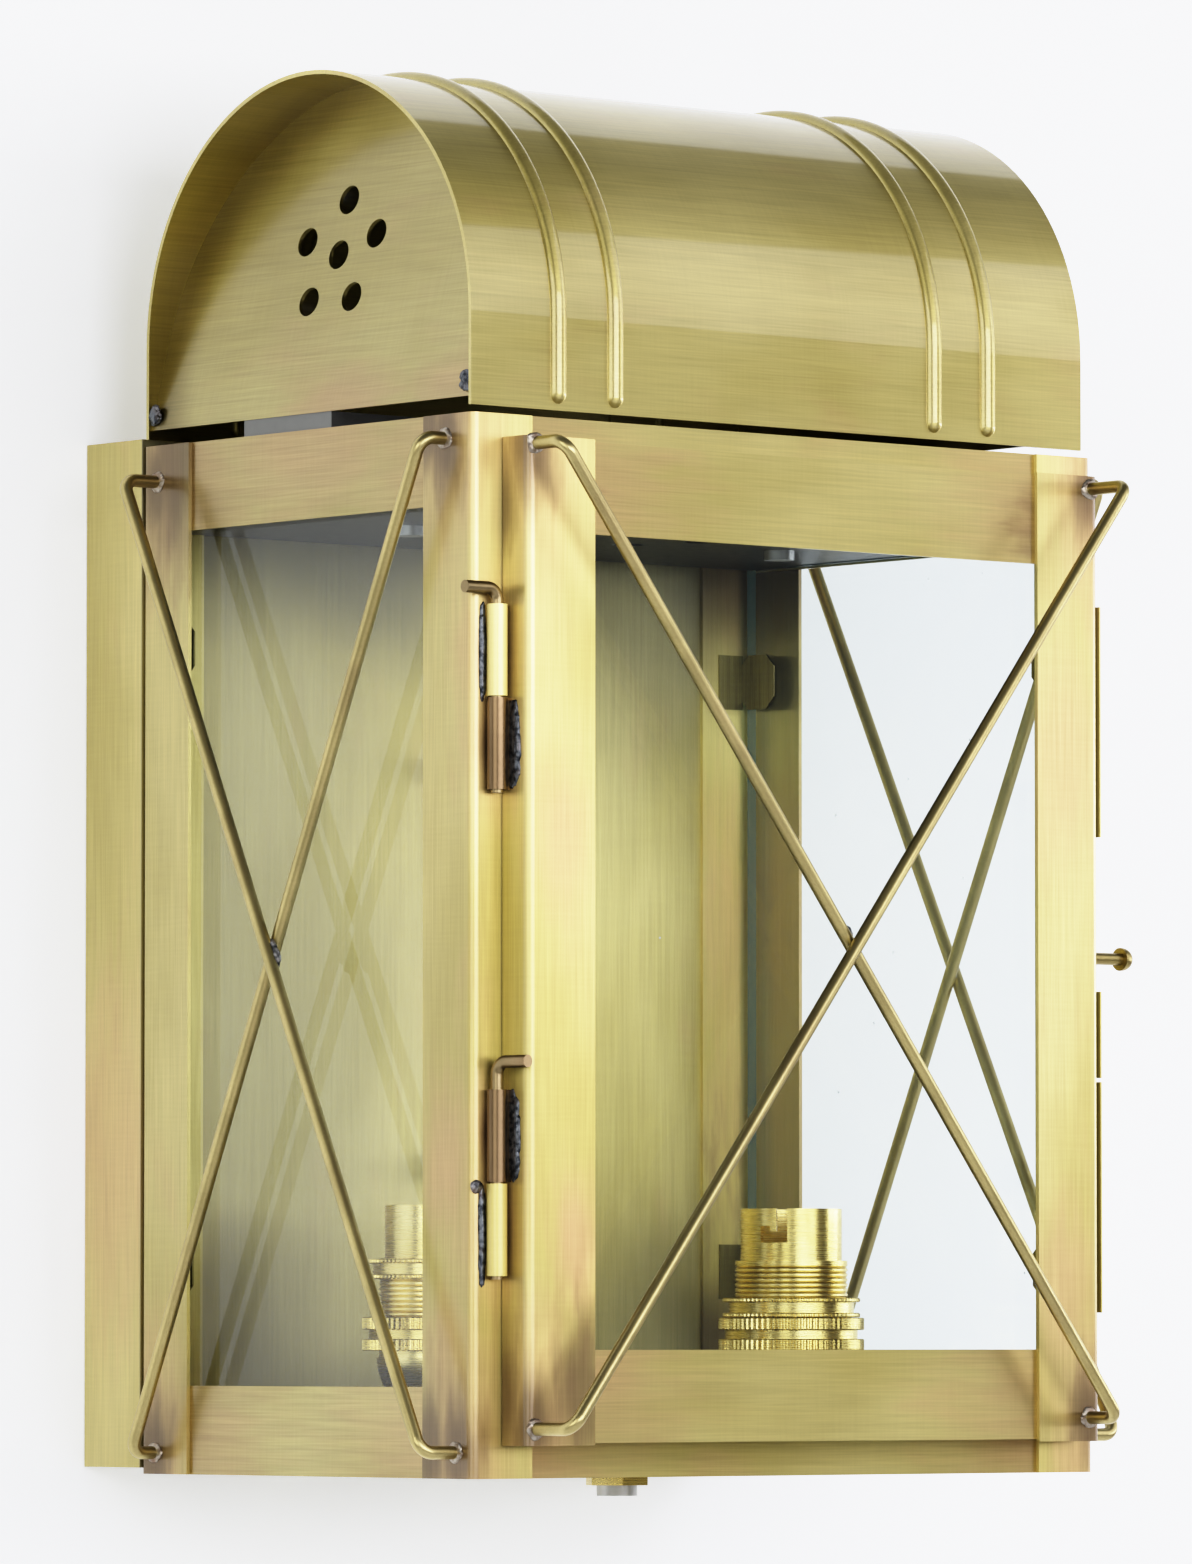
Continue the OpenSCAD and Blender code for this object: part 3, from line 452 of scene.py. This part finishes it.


# Smoke stains at given spots. The spot low on the rear right post, by the lampholder, is painted shade.
EXTRA_SMOKE_AND_SHADE = {
    "rear_left_post": [
        spot("rear_left_post", 0, 0.3, 0.99, 22 * MM),
        spot("rear_left_post", 0, 0.8, 0.02, 10 * MM),
    ],
    "front_left_post": [
        spot("front_left_post", 0, 0.9, 0.03, 13 * MM),
        spot("front_left_post", 0, 0.9, 0.99, 9 * MM),
    ],
    "rear_right_post": [spot("rear_right_post", 0.2, 0, 0.24, 26 * MM)],
    "door_hinge_stile": [
        spot("door_hinge_stile", 0, 1, 0.93, 9 * MM),
        spot("door_hinge_stile", 0, 1, 0.05, 12 * MM),
        spot("door_hinge_stile", 0.8, 0, 0.05, 15 * MM),
    ],
    "door_top_rail": [spot("door_top_rail", 1, 0, 0.4, 15 * MM)],
}
EXTRA_BLUSH = {
    "left_top_rail": [spot("left_top_rail", 0, 0.5, 0.8, 26 * MM)],
    "roof_left_end": [
        spot("roof_left_end", 0, 0.4, 0.02, 16 * MM),
        spot("roof_left_end", 0, 0.05, 0.05, 12 * MM),
    ],
    "back_box": [spot("back_box", 0, 0.5, 0.3, 30 * MM)],
    "rear_right_post": [
        spot("rear_right_post", 0.5, 0.2, 0.55, 30 * MM),
        spot("rear_right_post", 0.5, 0.2, 0.35, 25 * MM),
    ],
    "door_latch_stile": [
        spot("door_latch_stile", 0.4, 0, 0.7, 20 * MM),
        spot("door_latch_stile", 0.4, 0, 0.15, 16 * MM),
    ],
    "door_hinge_stile": [
        spot("door_hinge_stile", 0.5, 0, 0.6, 14 * MM),
        spot("door_hinge_stile", 0.7, 0, 0.2, 12 * MM),
    ],
    "front_left_post": [
        spot("front_left_post", 0, 0.5, 0.3, 14 * MM),
        spot("front_left_post", 0, 0.5, 0.1, 14 * MM),
    ],
}
ARCH_RADIUS = (high("roof_left_end").y - low("roof_left_end").y) / 2
ARCH_CENTRE = Vector((0, low("roof_left_end").y + ARCH_RADIUS, high("roof_left_end").z - ARCH_RADIUS))
# Grey of the painted shade inside the back box.
GREY_SHADE = (0.11, 0.10, 0.06)
BACK_FACE = low("back_box").y + 0.3 * MM
SPECIAL = {
    # Roof end plate: an amber band inside the arch paints the lip's shade and dark reflection. A tone under
    # 1 paints the whole plate darker, as painted shade.
    "roof_left_end": {
        "shade_veils": [painted_shade_under_arch(ARCH_CENTRE, ARCH_RADIUS, 16 * MM, 0.6)], "smoke_and_shade_colour": (0.16, 0.10, 0.012),
        "roughness": 0.45, "tone": 0.74, "contrast": 0.4,
    },
    "roof_skin": {"roughness": 0.41, "lacquer": 0.09, "contrast": 0.35},
    # Back box: painted shade on its front face, darker towards the top, the bottom and the left.
    "back_box": {
        "shade_veils": [
            painted_shade_fade("Z", 10 * MM, 118 * MM, 0.85, BACK_FACE),
            painted_shade_fade("Z", -30 * MM, -125 * MM, 0.65, BACK_FACE),
            painted_shade_fade("X", 50 * MM, -60 * MM, 0.55, BACK_FACE),
        ],
        "smoke_and_shade_colour": GREY_SHADE,
    },
    # Rear right post: painted shade at its top and bottom, and a painted dark reflection on its side
    # flange. A tone over 1 paints it lighter, as painted light.
    "rear_right_post": {
        "shade_veils": [
            painted_shade_fade("Z", 60 * MM, 105 * MM, 0.85),
            painted_shade_fade("Z", -66 * MM, -92 * MM, 0.8),
            painted_shade_fade("X", 97.0 * MM, 99.2 * MM, 0.6),
        ],
        "smoke_and_shade_colour": (0.07, 0.048, 0.035), "tone": 1.35,
    },
    # Glass clips: painted near black, both as blackened brass and as painted shade.
    "side_glass_clips": {"tone": 0.35},
    # Knuckles: a tone over 1 paints them lighter, as painted light.
    "body_knuckles": {"tone": 1.3, "roughness": 0.5},
    # Tones: the latch stile, left rails and left posts are painted darker, as painted shade. The front and
    # door rails are painted lighter, as painted light.
    "door_latch_stile": {"tone": 0.84},
    "front_top_rail": {"tone": 1.1}, "door_top_rail": {"tone": 1.12}, "door_bottom_rail": {"tone": 1.15},
    "front_bottom_rail": {"tone": 1.1}, "left_bottom_rail": {"tone": 0.76}, "left_top_rail": {"tone": 0.74},
    "front_left_post": {"tone": 0.90}, "rear_left_post": {"tone": 0.88},
}

for node, grain in GRAINS.items():
    feet = near_box(WIRE_FEET, node, 1 * MM)
    stains_and_shade_spots = marks(feet, 8 * MM, 0.4) + EXTRA_SMOKE_AND_SHADE.get(node, [])
    blush = marks(feet, 18 * MM, 0.3) + EXTRA_BLUSH.get(node, [])
    if "rail" in node:
        joints = ends_of(node, RAIL_AXES[grain])
        stains_and_shade_spots += marks(joints, 9 * MM, 0.3)
        blush += marks(joints, 26 * MM, 0.3)
    if node in ("front_left_post", "door_hinge_stile"):
        stains_and_shade_spots += marks(KNUCKLE_SPOTS, 5 * MM, 0.2)
        blush += marks(KNUCKLE_SPOTS, 12 * MM, 0.3)
    brass = brushed_brass("brass_" + node, grain, stains_and_shade_spots, blush, **SPECIAL.get(node, {}))
    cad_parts[node].data.materials.clear()
    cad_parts[node].data.materials.append(brass)


def dress(material, *nodes):
    """Gives CAD nodes one material."""
    for node in nodes:
        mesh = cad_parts[node].data
        mesh.materials.clear()
        mesh.materials.append(material)


polished = polished_brass("brass_turned")
dress(polished, "left_lampholder_shell", "right_lampholder_shell", "lampholder_caps", "lamp_bar",
      "lampholder_nipples", "dome_nuts", "earth_terminal", "conduit_nuts",
      "left_plunger_a", "left_plunger_b", "right_plunger_a", "right_plunger_b")
dress(drawn_wire("wire_brass"), "left_guard_wires", "right_guard_wires", "door_guard_wires")
dress(drawn_wire("pin_brass", (0.28, 0.215, 0.115), 0.4), "upper_hinge_pin", "lower_hinge_pin")
dress(drawn_wire("knob_brass", (0.34, 0.27, 0.11), 0.1), "door_knob")
dress(drawn_wire("knuckle_stained", (0.17, 0.115, 0.065), 0.5, 0.3), "door_knuckles")
dress(dull_metal("plain_steel", (0.42, 0.42, 0.40), (0.58, 0.58, 0.56)),
      "wall_strap", "wall_studs", "centre_tube", "roof_screws")
# The ceiling plate is painted near black: its own patina, plus painted shade for the little light that
# reaches it.
dress(dull_metal("ceiling_patina_and_shade", (0.055, 0.058, 0.058), (0.10, 0.10, 0.095), 0.8, 0.4), "ceiling_plate")
dress(dull_metal("bar_zinc", (0.16, 0.16, 0.15), (0.24, 0.24, 0.22)), "roof_bar")
dress(matte("grommet_rubber", (0.02, 0.02, 0.02), (0.035, 0.034, 0.033)), "cable_grommet")
dress(matte("terminal_plastic", (0.78, 0.76, 0.70), (0.70, 0.67, 0.60), 0.4), "terminal_block")
dress(matte("lead_sleeve", (0.10, 0.055, 0.03), (0.16, 0.09, 0.05), 0.45), "lead_left", "lead_right")
dress(matte("ceramic_glaze", (0.82, 0.80, 0.74), (0.74, 0.72, 0.66), 0.22), "insulators")
dress(clear_glass("door_pane", "Y"), "door_glass")
dress(clear_glass("side_pane", "X"), "left_glass", "right_glass")


# Knurled rings of the lampholders, and the contacts' springs


def finished(name, mesh, material, body):
    """A new piece from a mesh, with its material and body."""
    mesh.materials.append(material)
    piece = bpy.data.objects.new(name, mesh)
    bpy.context.collection.objects.link(piece)
    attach(piece, body)
    return piece


WAIST_DEPTH = 1.6 * MM
LIP_EASE = 0.25 * MM
TOOTH_DEPTH = 0.4 * MM
TOOTH_STEPS = (0, 0, 1, 1)


def ring_section(bore, radius, height, lower_lip, upper_lip):
    """Section of a shade ring as (radius, height, is knurled) points, round its outline."""
    waist = radius - WAIST_DEPTH
    eased = radius - LIP_EASE
    groove_top = height - upper_lip
    return [
        (bore, 0, False),
        (eased, 0, False),
        (radius, LIP_EASE, True),
        (radius, lower_lip - LIP_EASE, True),
        (eased, lower_lip, False),
        (waist, lower_lip, False),
        (waist, groove_top, False),
        (eased, groove_top, False),
        (radius, groove_top + LIP_EASE, True),
        (radius, height - LIP_EASE, True),
        (eased, height, False),
        (bore, height, False),
    ]


def knurled_rings(name, node, places, bore, section, teeth):
    """Knurled rings that stand for a CAD node, one around each (x, y, z) place."""
    columns = teeth * len(TOOTH_STEPS)
    vertices = []
    faces = []
    for place in places:
        first = len(vertices)
        for c in range(columns):
            turn = 2 * math.pi * c / columns
            cut = TOOTH_DEPTH * TOOTH_STEPS[c % len(TOOTH_STEPS)]
            for r, z, knurled in section:
                reach = r - (cut if knurled else 0)
                vertices.append(place + Vector((reach * math.cos(turn), reach * math.sin(turn), z)))
        points = len(section)
        for c in range(columns):
            for k in range(points):
                here = first + c * points
                there = first + (c + 1) % columns * points
                after = (k + 1) % points
                faces.append((here + k, there + k, there + after, here + after))
    mesh = bpy.data.meshes.new(name)
    mesh.from_pydata(vertices, [], faces)
    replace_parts(finished(name, mesh, polished, "lantern"), node)


def helix(name, centre, low_z, high_z, radius, wire, turns):
    """A coil of round wire, capped at its ends, between two heights."""
    around = 8
    steps = 24 * turns
    rise = high_z - low_z - 2 * wire
    vertices = []
    for i in range(steps + 1):
        turn = 2 * math.pi * i * turns / steps
        spoke = Vector((math.cos(turn), math.sin(turn), 0))
        middle = centre + spoke * radius + UP * (low_z + wire + rise * i / steps)
        for k in range(around):
            a = 2 * math.pi * k / around
            vertices.append(middle + spoke * (wire * math.cos(a)) + UP * (wire * math.sin(a)))
    faces = []
    for i in range(steps):
        here = i * around
        there = here + around
        for k in range(around):
            after = (k + 1) % around
            faces.append((here + k, there + k, there + after, here + after))
    faces += [tuple(range(around)), tuple(range(steps * around, (steps + 1) * around))[::-1]]
    mesh = bpy.data.meshes.new(name)
    mesh.from_pydata([tuple(v) for v in vertices], [], faces)
    for polygon in mesh.polygons:
        polygon.use_smooth = len(polygon.vertices) == 4
    return mesh


# The rings' bore is as wide as the shell's thread
BORE = (high("right_lampholder_shell").x - low("right_lampholder_shell").x) / 2
LAMP_Y = (low("upper_shade_rings").y + high("upper_shade_rings").y) / 2
LAMP_X = (
    (low("left_lampholder_shell").x + high("left_lampholder_shell").x) / 2,
    (low("right_lampholder_shell").x + high("right_lampholder_shell").x) / 2,
)
SMALL_RING_H = 4.85 * MM
LARGE_RING_H = high("lower_shade_rings").z - low("lower_shade_rings").z
SMALL_LIP = 1.1 * MM
LARGE_LIPS = (2.9 * MM, 3.1 * MM)
SMALL_TEETH = 84
LARGE_TEETH = 76
small_places = [
    Vector((LAMP_X[0], LAMP_Y, high("upper_shade_rings").z - SMALL_RING_H)),
    Vector((LAMP_X[1], LAMP_Y, low("upper_shade_rings").z)),
]
large_places = [Vector((x, LAMP_Y, low("lower_shade_rings").z)) for x in LAMP_X]
small_r = high("upper_shade_rings").x - LAMP_X[1]
large_r = high("lower_shade_rings").x - LAMP_X[1]
knurled_rings("small_knurled_rings", "upper_shade_rings", small_places, BORE,
              ring_section(BORE, small_r, SMALL_RING_H, SMALL_LIP, SMALL_LIP), SMALL_TEETH)
knurled_rings("large_knurled_rings", "lower_shade_rings", large_places, BORE,
              ring_section(BORE, large_r, LARGE_RING_H, *LARGE_LIPS), LARGE_TEETH)

SPRING_LOW = low("contact_springs").z
SPRING_HIGH = high("contact_springs").z
COIL_RADIUS = 1.95 * MM
WIRE_RADIUS = 0.25 * MM
COIL_TURNS = 6
spring_wire = dull_metal("spring_steel", (0.42, 0.42, 0.40), (0.58, 0.58, 0.56))
for side in ("left", "right"):
    for which in "ab":
        plunger = f"{side}_plunger_{which}"
        centre = (low(plunger) + high(plunger)) / 2
        centre.z = 0
        coil = helix(f"{plunger}_spring", centre, SPRING_LOW, SPRING_HIGH, COIL_RADIUS, WIRE_RADIUS,
                     COIL_TURNS)
        spring = finished(f"{plunger}_spring", coil, spring_wire, "lantern")
        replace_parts(spring, "contact_springs")
        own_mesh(spring)


# Solder lumps


GREY_SOLDER = solder("solder_grey", (0.06, 0.06, 0.062), (0.26, 0.255, 0.245), 0.5, 0.38, 0.5)
RING_SOLDER = solder("solder_ring", (0.24, 0.19, 0.14), (0.44, 0.40, 0.33), 0.6, 0.35, 0.25)
DARK_SOLDER = solder("solder_dark", (0.03, 0.034, 0.04), (0.15, 0.16, 0.17), 0.15, 0.34, 0.35)

LEFT = Vector((-1, 0, 0))
RIGHT = Vector((1, 0, 0))
FRONT = Vector((0, -1, 0))


def lump(name, body, centre, out, size, seed, finish=GREY_SOLDER, along=UP, blunt=1.0, ragged=0.3):
    """A flattened blob of solder on a face that looks out; size is its half lengths along, across and out.

    blunt under 1 squares its ends; ragged is how far its outline wanders, as a share of its size.
    """
    mesh = bpy.data.meshes.new(name)
    shape = bmesh.new()
    bmesh.ops.create_icosphere(shape, subdivisions=5, radius=1)
    first = along.normalized()
    second = out.cross(first).normalized()
    start = Vector((seed * 3.1, seed * 1.7, -seed * 2.3))
    for vertex in shape.verts:
        p = vertex.co.copy()
        p.x = math.copysign(abs(p.x) ** blunt, p.x)
        at = Vector((p.x * size[0], p.y * size[1], p.z * size[2])) / (2.2 * MM)
        wander = 1 + ragged * (noise.noise(at + start) + 0.4 * noise.noise(at * 3 + start))
        vertex.co = (
            centre
            + first * (p.x * size[0] * (1 + (wander - 1) * 0.5))
            + second * (p.y * size[1] * wander)
            + out * (p.z * size[2] * wander)
        )
    shape.to_mesh(mesh)
    shape.free()
    for polygon in mesh.polygons:
        polygon.use_smooth = True
    return finished(name, mesh, finish, body)


# Rings of solder around the wires' feet
for side, body, out, feet in (("left", "lantern", LEFT, LEFT_FEET), ("right", "lantern", RIGHT, RIGHT_FEET),
                              ("door", "door", FRONT, DOOR_FEET)):
    for i, foot in enumerate(feet):
        lump(f"{side}_foot_solder_{i}", body, foot, out, (2.6 * MM, 2.7 * MM, 0.9 * MM), i + ord(side[0]),
             RING_SOLDER, ragged=0.22)

# Strips of solder beside the hinge knuckles
STRIP_X = HINGE_X - 2.6 * MM
FLANGE = Vector((DOOR_LOW.x, POST_FRONT_Y - 4.0 * MM, 0))
for i, z in enumerate(BODY_KNUCKLE_Z):
    lump(f"post_hinge_solder_{i}", "lantern", Vector((STRIP_X, POST_FRONT_Y, z - i * 1.2 * MM)), FRONT,
         ((11.6 + i) * MM, 1.05 * MM, 0.7 * MM), 31 + i, DARK_SOLDER, blunt=0.4, ragged=0.2)
    lump(f"door_hinge_solder_{i}", "door", Vector((FLANGE.x, FLANGE.y, DOOR_KNUCKLE_Z[i])), LEFT,
         (10.4 * MM, 3.0 * MM, 0.8 * MM), 41 + i, DARK_SOLDER, blunt=0.55, ragged=0.22)
drop_place = Vector((STRIP_X - 1.6 * MM, POST_FRONT_Y, BODY_KNUCKLE_Z[1] + 9.8 * MM))
lump("post_hinge_drop", "lantern", drop_place, FRONT, (1.6 * MM, 1.9 * MM, 0.6 * MM), 51, GREY_SOLDER)

# Solder where the guard wires cross
WIRE_STANDOFF = 9.3 * MM
CROSSINGS = (
    ("left", "lantern", LEFT, LEFT_FEET, (4.2, 2.4, 1.3)),
    ("right", "lantern", RIGHT, RIGHT_FEET, (2.6, 1.9, 1.2)),
    ("door", "door", FRONT, DOOR_FEET, (1.9, 1.7, 1.3)),
)
for side, body, out, feet, size in CROSSINGS:
    middle = crossing(*feet) + out * WIRE_STANDOFF
    along = (feet[1] - feet[0]).normalized() if side == "left" else UP
    shift = UP * (2.6 * MM) if side != "left" else along * (2.5 * MM)
    lump(side + "_crossing_solder", body, middle + shift, out, tuple(v * MM for v in size),
         61 + ord(side[0]), GREY_SOLDER, along)

# Blobs at the roof's lower corners
CORNER_INSET = 1.5 * MM
CORNER_RISE = 3.5 * MM
end_low = low("roof_left_end")
end_high = high("roof_left_end")
for i, y in enumerate((end_low.y + CORNER_INSET, end_high.y - CORNER_INSET)):
    lump(f"roof_corner_solder_{i}", "lantern", Vector((end_low.x, y, end_low.z + CORNER_RISE)), LEFT,
         (2.6 * MM, 2.2 * MM, 0.9 * MM), 71 + i, DARK_SOLDER, ragged=0.6)


# Studio

WALL_TOP = 0.62
WALL_Y = 0.4 * MM
FLOOR_Z = -0.75


def sheet(name, corners, color, glow=0.0):
    """A flat stage surface, lit evenly by a little glow of its own. Its back is left clear."""
    mesh = bpy.data.meshes.new(name)
    mesh.from_pydata(corners, [], [(0, 1, 2, 3)])
    s = Shader(name + "_paint")
    speck = s.ramp(s.noise(160, 3), 0.3, 0.7)
    tone = s.mix(speck, color, tuple(c * 0.985 for c in color))
    paint = s.add("ShaderNodeBsdfPrincipled", {
        "Base Color": tone, "Roughness": 0.85, "Emission Color": color, "Emission Strength": glow,
    })
    result = s.add("ShaderNodeMixShader", {0: s.add("ShaderNodeNewGeometry").outputs["Backfacing"]})
    s.tree.links.new(paint.outputs[0], result.inputs[1])
    s.tree.links.new(s.add("ShaderNodeBsdfTransparent").outputs[0], result.inputs[2])
    s.tree.links.new(result.outputs[0], s.output.inputs["Surface"])
    mesh.materials.append(s.material)
    piece = bpy.data.objects.new(name, mesh)
    bpy.context.collection.objects.link(piece)


sheet("wall_board",
      [(-1.3, WALL_Y, FLOOR_Z), (1.5, WALL_Y, FLOOR_Z), (1.5, WALL_Y, WALL_TOP), (-1.3, WALL_Y, WALL_TOP)],
      (0.87, 0.885, 0.90), 0.38)
sheet("floor", [(-3, -4, FLOOR_Z), (3, -4, FLOOR_Z), (3, 0.5, FLOOR_Z), (-3, 0.5, FLOOR_Z)],
      (0.80, 0.80, 0.80))


def softbox(name, place, target, size, power, tint=(1, 1, 1)):
    """A rectangular area light that faces its target."""
    light = bpy.data.lights.new(name, "AREA")
    light.shape = "RECTANGLE"
    light.size = size[0]
    light.size_y = size[1]
    light.energy = power
    light.color = tint
    lamp = bpy.data.objects.new(name, light)
    bpy.context.collection.objects.link(lamp)
    lamp.location = place
    lamp.rotation_euler = (Vector(target) - Vector(place)).to_track_quat("-Z", "Y").to_euler()


DAYLIGHT = (0.98, 0.98, 1.07)
softbox("right_strip", (1.75, -0.80, 0.08), (0, -0.1, 0), (1.4, 0.30), 8, DAYLIGHT)
softbox("right_bank", (1.85, -0.62, 0.25), (0, -0.1, 0), (1.5, 1.2), 5.5, DAYLIGHT)
softbox("upper_right", (1.04, -1.24, 0.74), (0, -0.1, 0.05), (1.2, 0.85), 5.1, DAYLIGHT)
softbox("camera_bank", (-0.10, -1.95, 0.26), (0, -0.1, 0), (1.9, 0.75), 24, DAYLIGHT)
softbox("left_bank", (-1.75, -1.0, 0.3), (0, -0.1, 0), (1.4, 1.0), 14)

world = bpy.data.worlds.new("studio")
world.use_nodes = True
world.node_tree.nodes["Background"].inputs["Color"].default_value = (0.93, 0.96, 1.0, 1)
world.node_tree.nodes["Background"].inputs["Strength"].default_value = 0.14
bpy.context.scene.world = world

# How a camera answers light: a short toe, and a shoulder that keeps highlights pale
FILM = [
    (0.03, 0.016), (0.08, 0.055), (0.2, 0.178), (0.5, 0.5),
    (0.8, 0.755), (1.1, 0.88), (1.7, 0.96), (3.0, 1.0),
]
view = bpy.context.scene.view_settings
view.view_transform = "Standard"
view.use_curve_mapping = True
view.curve_mapping.use_clip = False
view.curve_mapping.clip_max_x = FILM[-1][0]
response = view.curve_mapping.curves[3]
response.points[1].location = FILM[-1]
for place in FILM[:-1]:
    response.points.new(*place)
view.curve_mapping.update()


# Camera

CAMERA_PLACE = Vector((-1619.0, -1995.6, -92.9)) * MM
CAMERA_TARGET = Vector((-11.1, -90.5, 43.9)) * MM

camera = bpy.data.objects.new("camera", bpy.data.cameras.new("camera"))
camera.data.sensor_width = 36
camera.data.lens = 233
camera.data.clip_start = 0.01
camera.location = CAMERA_PLACE
camera.rotation_euler = (CAMERA_TARGET - CAMERA_PLACE).to_track_quat("-Z", "Y").to_euler()
bpy.context.collection.objects.link(camera)
bpy.context.scene.camera = camera
